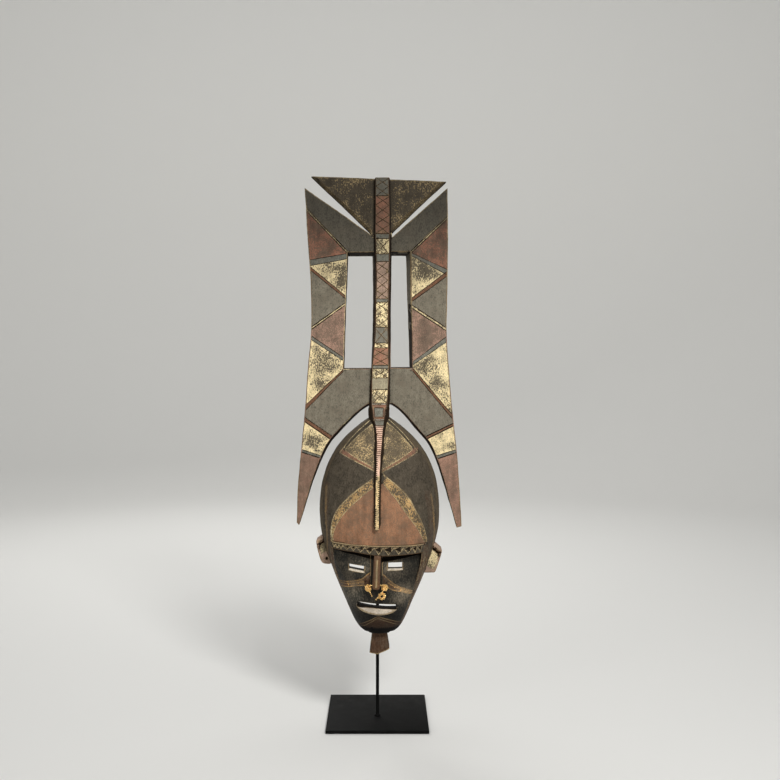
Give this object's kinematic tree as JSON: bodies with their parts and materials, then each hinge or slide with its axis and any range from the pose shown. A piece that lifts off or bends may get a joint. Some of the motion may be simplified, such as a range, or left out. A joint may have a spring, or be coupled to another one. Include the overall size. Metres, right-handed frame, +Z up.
{
  "type": "ceremonial mask",
  "caption": "Carved and painted wooden plank mask with an openwork board, notched crest and hollow head, held up by a slim rod on a square steel plate.",
  "frame": {"origin": "middle of the base plate's underside", "axes": "+Z up, the carved face looks along -Y, +X is to the right of a viewer who faces the mask"},
  "size_m": [0.305, 0.2175, 1.006],
  "materials": {
    "painted_wood": "matte, worn paint",
    "gold_beads": "satin",
    "black_steel": "satin"
  },
  "bodies": {
    "root": {"mask": "painted_wood", "nose_beads": "gold_beads", "stand_rod": "black_steel", "base_plate": "black_steel"}
  },
  "joints": []
}
